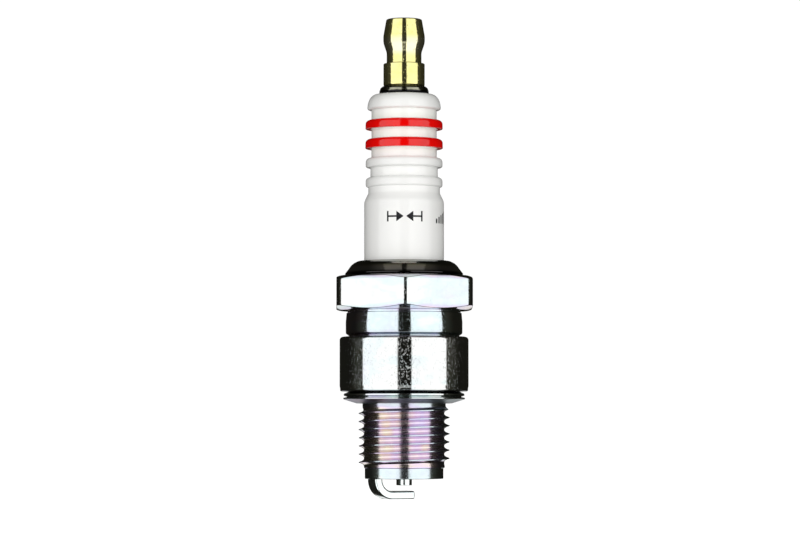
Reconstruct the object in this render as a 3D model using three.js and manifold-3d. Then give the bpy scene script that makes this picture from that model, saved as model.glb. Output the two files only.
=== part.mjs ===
// Spark plug with an M14 x 1.25 thread, a 20.8 mm hexagon and a screw-on terminal nut.
// Units are millimetres and +Z points to the terminal. The origin is on the axis, on the shell's
// seat face, so all that goes into the engine lies below it.
import * as THREE from 'three';
import { mergeVertices } from 'three/addons/utils/BufferGeometryUtils.js';
import Module from 'manifold-3d';

const wasm = await Module();
wasm.setup();

// Fineness of the round shapes.
const SIDES = 24;
const BORE_SIDES = 16;

// Running and stacking clearances between separate pieces.
const FIT = 0.03;
const SLIP = 0.15;

// Metal shell, from the seat face up.
const SEAT_CYLINDER = { radius: 9.92, top: 8.35, chamfer: 0.4 };
const RECESS = { neckRadius: 8.5, neckTop: 8.7, radius: 8.95, upperRadius: 8.84, top: 12.05 };
const COLLAR_RADIUS = 8.68;
const HEX = { acrossFlats: 20.8, bottom: 12.4, top: 17.7, corner: 1.25, faceRadius: 10, coneAngle: 22 };
const CRIMP = { neckRadius: 8.3, bottom: 17.9, radius: 9.08, top: 20.05, openingRadius: 6.3 };
const CRIMP_CONE = { bottom: 18.1, topRadius: 8.15, top: 19.35 };
const SHELL_BORE_RADIUS = 7.55;

// Metal shell, from the seat face down.
const RELIEF_RADIUS = 6.35;
const THREAD = {
  crestRadius: 6.95, rootRadius: 6.15, footRadius: 5.9, pitch: 1.25, crestWidth: 0.34, footWidth: 1.2,
  top: -2.65, bottom: -11.9, heightAtX: -7.75,
};
const PILOT = { radius: 6.02, top: -11.6, bottom: -13.4, chamfer: 0.15 };
const LOWER_BORE_RADIUS = 5.1;
const LEDGE = { radius: 4.0, top: -1.8, bottom: -4.0 };
const FIRING_BORE_RADIUS = 4.5;

// Insulator.
const CERAMIC = {
  headTop: 45.7, crownRadius: 4.3, headRadius: 5.65, headShoulder: 43.6, headBottom: 43.1,
  bodyRadius: 6.12, bodyTop: 28.9, shoulderRadius: 7.45, shoulderTop: 15.45, shoulderBottom: 4.6,
  stemRadius: 4.95, stemTop: 2.1, stemBottom: -1.5, noseRadius: 3.75, noseTop: -2.7,
  tipRadius: 2.35, tip: -12.2, tipRound: 0.3,
};
const RIBS = [
  { top: 41.7, bottom: 40.2, radius: 5.95, grooveAbove: 5.02, edge: 0.35 },
  { top: 38.9, bottom: 37.2, radius: 5.97, grooveAbove: 5.02, edge: 0.4 },
  { top: 35.8, bottom: 34.4, radius: 5.9, grooveAbove: 5.05, edge: 0.3 },
  { top: 32.8, bottom: 31.4, radius: 5.9, grooveAbove: 5.2, edge: 0.45 },
];
const LAST_GROOVE_RADIUS = 5.5;
const LAST_GROOVE_BOTTOM = 30.3;
const BORE = { radius: 2.0, stepTop: -1.0, stepBottom: -1.6, electrodeRadius: 1.26 };

// Conducting parts in the insulator's bore, from the terminal to the gap.
const NUT = {
  bottom: 47.05, top: 57.4, radius: 3.175, collarTop: 50.5, waistRadius: 2.7, waistTop: 52.3,
  bulgeBottom: 53.7, bulgeTop: 54.9, topRadius: 2.72, edge: 0.22, boreRadius: 2.1, boreTop: 54.0,
};
const FLANGE = { radius: 3.8, bottom: 45.7 + FIT, top: 46.95, round: 0.45 };
const STUD_THREAD = {
  crestRadius: 2.0, rootRadius: 1.57, footRadius: 1.45, pitch: 0.7, crestWidth: 0.12, footWidth: 0.64,
  top: 53.0, bottom: 47.4, heightAtX: 47.1,
};
const STUD = { top: 53.5, guideRadius: 1.9, guideBottom: 42, stemRadius: 1.45 };
const GRIP = { radius: 1.7, grooveDepth: 0.25, top: 14.5, end: 8.55, rings: 5 };
const SEAL_RADIUS = 1.95;
const UPPER_SEAL = { bottom: 7.0, top: 12.8 };
const RESISTOR = { bottom: 2.65, top: UPPER_SEAL.bottom - FIT };
const LOWER_SEAL = { bottom: -0.2 + FIT, top: RESISTOR.bottom - FIT };
const ELECTRODE = { radius: 1.2, headRadius: 1.8, headTop: -0.2, stubTop: 1.3, tip: -14.4, edge: 0.1 };
const CORE = { radius: 0.6, bottom: -12.6 };

// Ground strap: its root stands on the shell's end face, and its arm reaches under the centre electrode.
const STRAP = {
  width: 2.65, thickness: 1.27, outerRadius: 5.8, bendRadius: 3.0, armBottom: -16.5, tipPastAxis: 1.14,
  azimuth: 210,
};

// Gasket of folded sheet, captive on the thread relief: two round folds show outside, and both faces slope
// away from a flat land near the bore.
const GASKET = { innerRadius: 6.7, landRadius: 7.65, top: -0.03, bottom: -1.85 };
const SLIT = { height: 0.05, depth: 1.5 };
const UPPER_FOLD = { radius: 0.3, reach: 9.28, height: -0.7 };
const LOWER_FOLD = { radius: 0.24, reach: 9.36, height: -1.24 };

// Rings that seat and pack the insulator in the shell.
const PACKING_WASHER = { innerRadius: 4.15, outerRadius: 4.9 };
const LINE_RING = { wireRadius: 0.6, sides: 6 };
const TALC = { bottom: 16.75, top: 18.1 };

// Points of a circular or elliptical arc in a [radius, height] outline, angles in degrees from +radius.
function arc(centreRadius, centreHeight, reach, rise, from, to, steps) {
  const points = [];
  for (let i = 0; i <= steps; i += 1) {
    const angle = THREE.MathUtils.degToRad(from + ((to - from) * i) / steps);
    points.push([centreRadius + reach * Math.cos(angle), centreHeight + rise * Math.sin(angle)]);
  }
  return points;
}

// Merges shared corners, leaving position only, and drops the faces that collapse on the axis.
function weld(geometry) {
  geometry.deleteAttribute('normal');
  geometry.deleteAttribute('uv');
  const welded = mergeVertices(geometry, 1e-5);
  const kept = [];
  const { array } = welded.index;
  for (let i = 0; i < array.length; i += 3) {
    const [a, b, c] = [array[i], array[i + 1], array[i + 2]];
    if (a !== b && b !== c && c !== a) kept.push(a, b, c);
  }
  welded.setIndex(kept);
  return welded;
}

// Turns a closed [radius, height] outline, listed anticlockwise with radius to the right, about the Z axis.
function turned(outline, sides = SIDES) {
  const points = outline.map(([radius, height]) => new THREE.Vector2(Math.max(radius, 0), height));
  points.push(points[0].clone());
  return weld(new THREE.LatheGeometry(points, sides).rotateX(Math.PI / 2));
}

// A plain round rod that fits the insulator's bore.
function rod(radius, bottom, top) {
  return turned([[0, bottom], [radius, bottom], [radius, top], [0, top]], BORE_SIDES);
}

// A screw thread's ridge, swept along a right-handed helix. Its foot is inside the core, and its crest
// sinks into the core at both ends. Its steps fall half-way between the corners of the core.
function threadRidge(thread, steps) {
  const { crestRadius, footRadius, pitch, crestWidth, footWidth, top, bottom, heightAtX } = thread;
  const turnOf = (height) => (height - heightAtX) / pitch;
  const [first, last] = [Math.round(turnOf(bottom) * steps), Math.round(turnOf(top) * steps)];
  const fade = steps / 3;
  const position = [];
  const index = [];
  for (let i = first; i <= last; i += 1) {
    const turns = (i + 0.5) / steps;
    const angle = turns * 2 * Math.PI;
    const height = heightAtX + turns * pitch;
    const grown = Math.min(1, (i - first) / fade, (last - i) / fade);
    const crest = footRadius + 0.05 + (crestRadius - footRadius - 0.05) * grown;
    const section = [
      [footRadius, -footWidth / 2],
      [crest, -crestWidth / 2],
      [crest, crestWidth / 2],
      [footRadius, footWidth / 2],
    ];
    for (const [radius, offset] of section) {
      position.push(radius * Math.cos(angle), radius * Math.sin(angle), height + offset);
    }
  }
  const corners = 4;
  for (let i = 0; i < last - first; i += 1) {
    for (let corner = 0; corner < corners; corner += 1) {
      const [a, b] = [corners * i + corner, corners * i + ((corner + 1) % corners)];
      index.push(a, a + corners, b + corners, a, b + corners, b);
    }
  }
  const end = corners * (last - first);
  for (let corner = 1; corner < corners - 1; corner += 1) {
    index.push(0, corner, corner + 1, end, end + corner + 1, end + corner);
  }
  const geometry = new THREE.BufferGeometry();
  geometry.setAttribute('position', new THREE.Float32BufferAttribute(position, 3));
  geometry.setIndex(index);
  return geometry;
}

function solid(geometry) {
  return new wasm.Manifold(new wasm.Mesh({
    numProp: 3,
    vertProperties: Float32Array.from(geometry.attributes.position.array),
    triVerts: Uint32Array.from(geometry.index.array),
  }));
}

function geometryOf(manifold) {
  const mesh = manifold.getMesh();
  const geometry = new THREE.BufferGeometry();
  geometry.setAttribute('position', new THREE.BufferAttribute(mesh.vertProperties, 3));
  geometry.setIndex(new THREE.BufferAttribute(mesh.triVerts, 1));
  return geometry;
}

// The hexagon with a corner at -Y, rounded corners and coned ends.
function hexagon() {
  const height = HEX.top - HEX.bottom;
  const corner = HEX.acrossFlats / 2 / Math.cos(Math.PI / 6);
  const filletCentre = corner - HEX.corner / Math.cos(Math.PI / 6);
  const shape = new THREE.Shape();
  for (let k = 0; k < 6; k += 1) {
    const middle = THREE.MathUtils.degToRad(30 + 60 * k);
    const centre = [filletCentre * Math.cos(middle), filletCentre * Math.sin(middle)];
    shape.absarc(...centre, HEX.corner, middle - Math.PI / 6, middle + Math.PI / 6);
  }
  shape.closePath();
  const prism = new THREE.ExtrudeGeometry(shape, { depth: height, bevelEnabled: false, curveSegments: 3 });
  prism.translate(0, 0, HEX.bottom);
  const reach = corner + 1;
  const drop = (reach - HEX.faceRadius) * Math.tan(THREE.MathUtils.degToRad(HEX.coneAngle));
  const cones = turned([
    [0, HEX.bottom], [HEX.faceRadius, HEX.bottom], [reach, HEX.bottom + drop],
    [reach, HEX.top - drop], [HEX.faceRadius, HEX.top], [0, HEX.top],
  ], 2 * SIDES);
  return solid(weld(prism)).intersect(solid(cones));
}

// The shell's round outside, from the end face up to the crimped lip.
function shellOutside() {
  const { radius, top, chamfer } = SEAT_CYLINDER;
  const recessRise = 1.5;
  return turned([
    [0, PILOT.bottom],
    [PILOT.radius - PILOT.chamfer, PILOT.bottom],
    [PILOT.radius, PILOT.bottom + PILOT.chamfer],
    [PILOT.radius, PILOT.top],
    [THREAD.rootRadius, PILOT.top + 0.3],
    [THREAD.rootRadius, THREAD.top - 0.3],
    [RELIEF_RADIUS, THREAD.top],
    [RELIEF_RADIUS, 0],
    [radius - chamfer, 0],
    [radius, chamfer],
    [radius, top - chamfer],
    [radius - chamfer, top],
    [RECESS.neckRadius, top],
    [RECESS.neckRadius, RECESS.neckTop - 0.15],
    ...arc(RECESS.radius - 0.45, RECESS.neckTop + 0.3, 0.45, 0.45, -90, 0, 3).slice(1),
    [RECESS.radius, RECESS.top - recessRise],
    [RECESS.upperRadius, RECESS.top],
    [COLLAR_RADIUS, RECESS.top],
    [COLLAR_RADIUS, HEX.bottom + 0.5],
    [COLLAR_RADIUS, HEX.top - 0.5],
    [CRIMP.neckRadius, HEX.top - 0.4],
    [CRIMP.neckRadius, CRIMP.bottom],
    [CRIMP.radius, CRIMP.bottom],
    [CRIMP.radius, CRIMP_CONE.bottom],
    [CRIMP_CONE.topRadius, CRIMP_CONE.top],
    [CRIMP_CONE.topRadius - 0.55, CRIMP.top - 0.25],
    [CRIMP_CONE.topRadius - 1.2, CRIMP.top],
    [0, CRIMP.top],
  ]);
}

// The shell's hollow, run past both ends: packing chamber, ledge for the washer and firing bore.
function shellInside() {
  return turned([
    [0, PILOT.bottom - 1],
    [FIRING_BORE_RADIUS + 0.1, PILOT.bottom - 1],
    [FIRING_BORE_RADIUS + 0.1, PILOT.bottom],
    [FIRING_BORE_RADIUS, PILOT.bottom + 0.1],
    [FIRING_BORE_RADIUS, LEDGE.bottom - 0.8],
    [LEDGE.radius, LEDGE.bottom],
    [LEDGE.radius, LEDGE.top - (LOWER_BORE_RADIUS - LEDGE.radius)],
    [LOWER_BORE_RADIUS, LEDGE.top],
    [LOWER_BORE_RADIUS, CERAMIC.stemTop - SLIP],
    [SHELL_BORE_RADIUS, CERAMIC.shoulderBottom - SLIP],
    [SHELL_BORE_RADIUS, CRIMP.top - 1.4],
    [SHELL_BORE_RADIUS - 0.15, CRIMP.top - 0.95],
    [CRIMP.openingRadius + 0.6, CRIMP.top - 0.5],
    [CRIMP.openingRadius, CRIMP.top - 0.3],
    [CRIMP.openingRadius, CRIMP.top + 1],
    [0, CRIMP.top + 1],
  ]);
}

function metalShell() {
  const ridge = solid(threadRidge(THREAD, SIDES));
  const outside = solid(shellOutside()).add(hexagon()).add(ridge);
  return geometryOf(outside.subtract(solid(shellInside())));
}

// Head, ribs and grooves of the insulator, listed from the body up.
function ribOutline() {
  const points = [[LAST_GROOVE_RADIUS, LAST_GROOVE_BOTTOM]];
  let groove = LAST_GROOVE_RADIUS;
  for (const { top, bottom, radius, grooveAbove, edge } of RIBS.toReversed()) {
    points.push([groove, bottom]);
    points.push([radius - 0.1, bottom]);
    points.push([radius, bottom + 0.1]);
    points.push([radius, top - edge]);
    points.push([radius - edge * 0.3, top - edge * 0.3]);
    points.push([radius - edge, top]);
    points.push([grooveAbove, top]);
    groove = grooveAbove;
  }
  points.push([groove, CERAMIC.headBottom], [CERAMIC.headRadius - 0.1, CERAMIC.headBottom]);
  points.push([CERAMIC.headRadius, CERAMIC.headBottom + 0.1]);
  return points;
}

// The insulator, from the nose tip up to the crown and down again through the bore.
function insulator() {
  const crown = [CERAMIC.headRadius - CERAMIC.crownRadius, CERAMIC.headTop - CERAMIC.headShoulder];
  return turned([
    [BORE.electrodeRadius, CERAMIC.tip],
    [CERAMIC.tipRadius - CERAMIC.tipRound, CERAMIC.tip],
    [CERAMIC.tipRadius, CERAMIC.tip + CERAMIC.tipRound],
    [CERAMIC.noseRadius, CERAMIC.noseTop],
    [CERAMIC.stemRadius, CERAMIC.stemBottom],
    [CERAMIC.stemRadius, CERAMIC.stemTop],
    [CERAMIC.shoulderRadius, CERAMIC.shoulderBottom],
    [CERAMIC.shoulderRadius, CERAMIC.shoulderTop - 0.5],
    [CERAMIC.shoulderRadius - 0.5, CERAMIC.shoulderTop],
    [CERAMIC.bodyRadius, CERAMIC.shoulderTop],
    [CERAMIC.bodyRadius, CERAMIC.bodyTop],
    [CERAMIC.bodyRadius - 0.2, CERAMIC.bodyTop + 0.7],
    ...ribOutline(),
    ...arc(CERAMIC.crownRadius, CERAMIC.headShoulder, ...crown, 0, 90, 4),
    [BORE.radius, CERAMIC.headTop],
    [BORE.radius, BORE.stepTop],
    [BORE.electrodeRadius, BORE.stepBottom],
  ]);
}

// Turned nut with a collar, a waist for the cap's clip and a blind bore for the stud.
function terminalNut() {
  const { bottom, top, radius, edge } = NUT;
  return turned([
    [NUT.boreRadius + 0.3, bottom],
    [radius - edge, bottom],
    [radius, bottom + edge],
    [radius, NUT.collarTop - edge],
    [radius - edge, NUT.collarTop],
    [NUT.waistRadius, NUT.collarTop],
    [NUT.waistRadius, NUT.waistTop],
    [radius, NUT.bulgeBottom],
    [radius, NUT.bulgeTop],
    [NUT.topRadius, top - edge],
    [NUT.topRadius - edge, top],
    [0, top],
    [0, NUT.boreTop + 1],
    [NUT.boreRadius, NUT.boreTop],
    [NUT.boreRadius, bottom + 0.3],
  ], BORE_SIDES);
}

// Stud with a flange that rests on the insulator and ring grooves that the glass grips.
function terminalStud() {
  const { radius, grooveDepth, top, end, rings } = GRIP;
  const lead = 0.4;
  const step = (top - end - lead) / rings;
  const grip = [];
  for (let k = 0; k < rings; k += 1) {
    const start = end + lead + step * k;
    grip.push([radius, start], [radius, start + 0.6 * step], [radius - grooveDepth, start + 0.8 * step]);
  }
  const core = turned([
    [0, end],
    [radius - lead, end],
    ...grip,
    [STUD.stemRadius, top],
    [STUD.stemRadius, STUD.guideBottom - 0.4],
    [STUD.guideRadius, STUD.guideBottom],
    [STUD.guideRadius, FLANGE.bottom],
    [FLANGE.radius, FLANGE.bottom],
    ...arc(FLANGE.radius - FLANGE.round, FLANGE.top - FLANGE.round, FLANGE.round, FLANGE.round, 0, 90, 3),
    [STUD_THREAD.rootRadius, FLANGE.top],
    [STUD_THREAD.rootRadius, STUD.top - 0.4],
    [STUD_THREAD.rootRadius - 0.4, STUD.top],
    [0, STUD.top],
  ], BORE_SIDES);
  return geometryOf(solid(core).add(solid(threadRidge(STUD_THREAD, BORE_SIDES))));
}

// Glass fused round the stud's grooved end, as a cup open at the top.
function upperGlassSeal() {
  const pocket = GRIP.radius + FIT;
  return turned([
    [0, UPPER_SEAL.bottom],
    [SEAL_RADIUS, UPPER_SEAL.bottom],
    [SEAL_RADIUS, UPPER_SEAL.top],
    [pocket, UPPER_SEAL.top],
    [pocket, GRIP.end - FIT],
    [0, GRIP.end - FIT],
  ], BORE_SIDES);
}

function resistor() {
  return rod(SEAL_RADIUS, RESISTOR.bottom, RESISTOR.top);
}

// Glass fused over the centre electrode's stub, as a cup open at the bottom.
function lowerGlassSeal() {
  const pocket = ELECTRODE.radius + FIT;
  return turned([
    [0, ELECTRODE.stubTop + FIT],
    [pocket, ELECTRODE.stubTop + FIT],
    [pocket, LOWER_SEAL.bottom],
    [SEAL_RADIUS, LOWER_SEAL.bottom],
    [SEAL_RADIUS, LOWER_SEAL.top],
    [0, LOWER_SEAL.top],
  ], BORE_SIDES);
}

// Nickel-alloy jacket, closed at the firing tip and open at the stub, where the copper core goes in.
function centerElectrode() {
  const { radius, headRadius, tip, edge } = ELECTRODE;
  const pocket = CORE.radius + FIT;
  return turned([
    [0, tip],
    [radius - edge, tip],
    [radius, tip + edge],
    [radius, BORE.stepBottom + 0.1],
    [headRadius, BORE.stepTop + 0.1],
    [headRadius, ELECTRODE.headTop],
    [radius, ELECTRODE.headTop],
    [radius, ELECTRODE.stubTop],
    [pocket, ELECTRODE.stubTop],
    [pocket, CORE.bottom],
    [0, CORE.bottom],
  ], BORE_SIDES);
}

function centerElectrodeCore() {
  return rod(CORE.radius, CORE.bottom + FIT, ELECTRODE.stubTop);
}

// Side outline of the strap, root at +X, extruded over its width about the XZ plane.
function groundElectrode() {
  const { width, thickness, outerRadius, bendRadius, armBottom, tipPastAxis } = STRAP;
  const bend = [outerRadius - bendRadius, armBottom + bendRadius];
  const root = PILOT.bottom - FIT;
  const outline = [
    [outerRadius, root],
    ...arc(...bend, bendRadius, bendRadius, 0, -90, 8),
    [-tipPastAxis, armBottom],
    [-tipPastAxis, armBottom + thickness],
    ...arc(...bend, bendRadius - thickness, bendRadius - thickness, -90, 0, 8),
    [outerRadius - thickness, root],
  ];
  const shape = new THREE.Shape(outline.map(([x, y]) => new THREE.Vector2(x, y)));
  const strap = new THREE.ExtrudeGeometry(shape, { depth: width, bevelEnabled: false });
  strap.translate(0, 0, -width / 2);
  return strap.rotateX(Math.PI / 2);
}

// The gasket's section, with the slit that the sheet's folds leave open towards the bore.
function gasket() {
  const { innerRadius, landRadius, top, bottom } = GASKET;
  const middle = (top + bottom) / 2;
  function fold({ radius, reach, height }, from, to) {
    return arc(reach - radius, height, radius, radius, from, to, 4);
  }
  return turned([
    [innerRadius, bottom + 0.2],
    [innerRadius + 0.25, bottom],
    [landRadius, bottom],
    ...fold(LOWER_FOLD, -80, 70),
    ...fold(UPPER_FOLD, -60, 80),
    [landRadius, top],
    [innerRadius + 0.25, top],
    [innerRadius, top - 0.2],
    [innerRadius, middle + SLIT.height / 2],
    [innerRadius + SLIT.depth, middle + SLIT.height / 2],
    [innerRadius + SLIT.depth, middle - SLIT.height / 2],
    [innerRadius, middle - SLIT.height / 2],
  ]);
}

// Soft steel washer squeezed between the insulator's lower shoulder and the shell's ledge.
function seatPackingRing() {
  const { innerRadius, outerRadius } = PACKING_WASHER;
  const under = LEDGE.top - LOWER_BORE_RADIUS + FIT;
  const over = CERAMIC.stemBottom - CERAMIC.stemRadius - FIT;
  return turned([
    [innerRadius, innerRadius + under],
    [outerRadius, outerRadius + under],
    [outerRadius, outerRadius + over],
    [innerRadius, innerRadius + over],
  ]);
}

// Steel wire ring that bounds the talc.
function lineRing(height) {
  const { wireRadius, sides } = LINE_RING;
  const middle = (CERAMIC.bodyRadius + SHELL_BORE_RADIUS) / 2;
  return turned(arc(middle, height, wireRadius, wireRadius, 0, 360 - 360 / sides, sides - 1));
}

// Pressed talc powder between the two line rings.
function talcRing() {
  const innerRadius = CERAMIC.bodyRadius + FIT;
  const outerRadius = SHELL_BORE_RADIUS - FIT;
  return turned([
    [innerRadius, TALC.bottom],
    [outerRadius, TALC.bottom],
    [outerRadius, TALC.top],
    [innerRadius, TALC.top],
  ]);
}

const finishes = {
  brass: { color: 0xc9a83a, roughness: 0.22, metalness: 1 },
  darkSteel: { color: 0x2b2a28, roughness: 0.28, metalness: 1 },
  glazedCeramic: { color: 0xf6f5f1, roughness: 0.12, metalness: 0 },
  sealGlass: { color: 0x5b4638, roughness: 0.5, metalness: 0 },
  resistorMass: { color: 0x3a3a3d, roughness: 0.8, metalness: 0 },
  nickel: { color: 0xa9a79f, roughness: 0.35, metalness: 1 },
  copper: { color: 0xb87246, roughness: 0.35, metalness: 1 },
  platedSteel: { color: 0xcfd2d6, roughness: 0.2, metalness: 1 },
  bareSteel: { color: 0x8d8f92, roughness: 0.4, metalness: 1 },
  talc: { color: 0xd9d5c8, roughness: 0.95, metalness: 0 },
};

const group = new THREE.Group();

function addPiece(name, geometry, finish, parent = group) {
  const mesh = new THREE.Mesh(geometry, new THREE.MeshStandardMaterial(finishes[finish]));
  mesh.name = name;
  parent.add(mesh);
}

addPiece('terminal_nut', terminalNut(), 'brass');
addPiece('terminal_stud', terminalStud(), 'darkSteel');
addPiece('insulator', insulator(), 'glazedCeramic');
addPiece('upper_glass_seal', upperGlassSeal(), 'sealGlass');
addPiece('resistor', resistor(), 'resistorMass');
addPiece('lower_glass_seal', lowerGlassSeal(), 'sealGlass');
addPiece('center_electrode', centerElectrode(), 'nickel');
addPiece('center_electrode_core', centerElectrodeCore(), 'copper');
addPiece('metal_shell', metalShell(), 'platedSteel');
addPiece('gasket', gasket(), 'platedSteel');
addPiece('seat_packing_ring', seatPackingRing(), 'bareSteel');
addPiece('lower_line_ring', lineRing(CERAMIC.shoulderTop + FIT + LINE_RING.wireRadius), 'bareSteel');
addPiece('talc_ring', talcRing(), 'talc');
addPiece('upper_line_ring', lineRing(TALC.top + FIT + LINE_RING.wireRadius), 'bareSteel');

const strapTurn = new THREE.Group();
strapTurn.rotation.z = THREE.MathUtils.degToRad(STRAP.azimuth);
addPiece('ground_electrode', groundElectrode(), 'nickel', strapTurn);
group.add(strapTurn);

export default group;
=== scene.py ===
import math

import bmesh
import bpy
import numpy as np
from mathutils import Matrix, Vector


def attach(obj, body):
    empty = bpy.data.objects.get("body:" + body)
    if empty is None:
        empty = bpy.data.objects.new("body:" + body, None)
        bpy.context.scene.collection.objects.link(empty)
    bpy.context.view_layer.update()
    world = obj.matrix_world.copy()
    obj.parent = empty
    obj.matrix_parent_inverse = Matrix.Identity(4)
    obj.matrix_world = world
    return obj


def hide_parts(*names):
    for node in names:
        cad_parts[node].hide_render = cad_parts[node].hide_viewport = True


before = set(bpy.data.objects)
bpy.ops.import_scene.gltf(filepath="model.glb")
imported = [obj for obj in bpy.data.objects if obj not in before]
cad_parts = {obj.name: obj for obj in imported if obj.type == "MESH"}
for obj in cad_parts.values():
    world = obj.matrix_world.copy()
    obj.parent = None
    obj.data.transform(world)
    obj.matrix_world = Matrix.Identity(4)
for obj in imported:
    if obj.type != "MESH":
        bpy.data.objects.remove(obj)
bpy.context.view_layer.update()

MM = 0.001

# Metal shell.
SEAT_CYLINDER = {"radius": 9.9, "foot_inset": 0.08, "top": 8.35}
RECESS = {"neck": 8.48, "neck_top": 8.75, "radius": 8.96, "upper_radius": 8.84, "top": 12.02}
COLLAR_RADIUS = 8.68
HEX = {"across_flats": 20.8, "bottom": 12.4, "top": 17.72, "corner": 2.0, "cone": 20.5,
       "face": 10.0, "face_start": 9.4}
HEX_HALF = HEX["across_flats"] / 2
HEX_CORNER_CENTRE = (HEX_HALF - HEX["corner"]) / math.cos(math.pi / 6)
CRIMP = {"neck": 8.3, "bottom": 17.92, "radius": 9.08, "cone_bottom": 18.08, "top": 20.03}
SHELL_BORE = 7.55
RELIEF = 6.38
THREAD = {"crest": 6.97, "root": 6.17, "pitch": 1.25, "first": -11.62, "last": -2.35, "height_at_x": -7.75,
          "bottom": -11.7, "top": -1.75, "sharpness": 2.4, "flat": 0.045, "fade": 0.5,
          "widens_from": -3.05, "widens_over": 0.6}
PILOT = {"radius": 6.03, "bottom": -13.4}
FIRING_BORE = 4.5

# Insulator: each rib's bottom, top and radius, the groove above it, and its lower and upper fillets.
BODY_RADIUS = 6.13
GROOVE_BELOW_RIBS = 5.5
RIBS = [
    (31.4, 32.86, 5.92, 5.18, 0.6, 0.6),
    (34.42, 35.85, 5.92, 5.03, 0.3, 0.62),
    (37.34, 38.78, 5.97, 5.02, 0.14, 0.6),
    (40.33, 41.7, 5.95, 5.02, 0.14, 0.6),
]
RED_RIBS = RIBS[2:]
# The head's crown is a quarter of an ellipse.
CROWN = {"centre": 4.3, "reach": 1.35, "bottom": 43.6, "rise": 2.1, "steps": 14}
STEM_BORE = 2.0
ELECTRODE_BORE = 1.26

# Printed marks on the insulator's body. The sign's places are distances from its middle, and the bars'
# are distances round the body from the front.
SIGN = {"height": 26.6, "tip": 0.25, "arrow_end": 1.3, "lead_end": 2.55, "bar_end": 2.8,
        "half_tip": 0.04, "half_lead": 0.13, "half_bar": 0.8}
BARS = {"foot": 25.65, "count": 5, "first": 5.5, "pitch": 0.7, "width": 0.35, "shortest": 0.7, "rise": 0.3}
INK = {"proud": 0.012, "sunk": 0.04, "longest_side": 0.2}

# Terminal nut and stud.
NUT = {"bottom": 47.05, "top": 57.38, "radius": 3.18, "collar_top": 50.5, "waist": 2.68, "waist_top": 52.2,
       "bulge": 3.2, "bulge_bottom": 53.75, "bulge_top": 54.75, "top_radius": 2.74,
       "bore": 2.1, "bore_mouth": 2.42, "dimple": 0.9}
STUD_THREAD = {"crest": 2.0, "root": 1.57, "pitch": 0.7, "first": 47.5, "last": 52.9, "height_at_x": 47.1,
               "bottom": 47.1, "top": 53.3, "sharpness": 1.3, "flat": 0.06, "fade": 0.4}
STUD_GRIP = {"rings": 5, "first": 8.95, "pitch": 1.11, "land": 0.66, "groove": 0.88,
             "crest": 1.7, "root": 1.45}

# Folded gasket, with a slot between its folds on the inside.
GASKET = {"bore": 6.7, "slot": 8.3, "bottom": -1.85, "top": -0.03}

# Centre electrode's jacket.
ELECTRODE = {"radius": 1.2, "head": 1.8, "core": 0.63, "tip": -14.4, "core_tip": -12.6, "top": 1.3}

# Ground strap, as a path in the plane through the axis at its azimuth.
STRAP = {"width": 2.65, "thickness": 1.27, "outer": 5.8, "bend": 3.0, "arm_bottom": -16.5, "tip": -1.14,
         "azimuth": 210.0, "edge": 0.32, "weld_gap": 0.02, "tip_round": 0.2, "tip_inset": 0.14}

# Camera. Its distance and tilt fit the arcs that the ribs and the hexagon draw.
CAMERA_DISTANCE = 500.0
CAMERA_AZIMUTH = -1.0
CAMERA_ELEVATION = -2.8
CAMERA_TARGET = (-0.63, 0.0, 19.2)
CAMERA_LENS = 146.25

# Studio, as seen from the plug. Azimuth runs from the camera's side, 0 degrees, to the back, 180 degrees,
# and is the same on the left and the right. Each lit patch has a lower and upper elevation with a soft
# edge, and pairs of azimuths are where a soft side edge starts and ends.
PANEL_START = (11.8, 14.2)
PANEL_END = (79.0, 81.0)
PANELS = {"low": -48.0, "high": 40.0, "edge": 3.0, "strength": 1.42}
LOW_GLOW = {"full": -38.0, "none": -8.0, "strength": 0.3}
TABLE = {"low": -29.0, "high": -18.0, "edge": 3.0, "strength": 0.3}
TOP_EDGE = {"low": 47.0, "high": 53.0, "edge": 3.0, "strength": 0.45}
OVERHEAD = {"low": 58.0, "high": 80.0, "edge": 5.0, "strength": 0.12}
LOW_BACK = {"start": (158.0, 168.0), "low": -46.0, "high": -12.0, "edge": 4.0, "strength": 1.0}
HIGH_BACK = {"start": (140.0, 155.0), "low": 56.0, "high": 84.0, "edge": 4.0, "strength": 0.12}
SIDE_GLOW = {"end": (84.0, 118.0), "strength": 0.028}
ROOM_LIGHT = 0.011
DIFFUSE_LOSS = 0.19
PAPER_WHITE = 1.02
FILL = {"azimuth": 35.0, "elevation": 12.0, "distance": 700.0, "size": 500.0, "power": 0.8, "aim": 20.0}
FLOOR = {"height": -16.56, "reach": 3000.0, "glow": 0.9}

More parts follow.
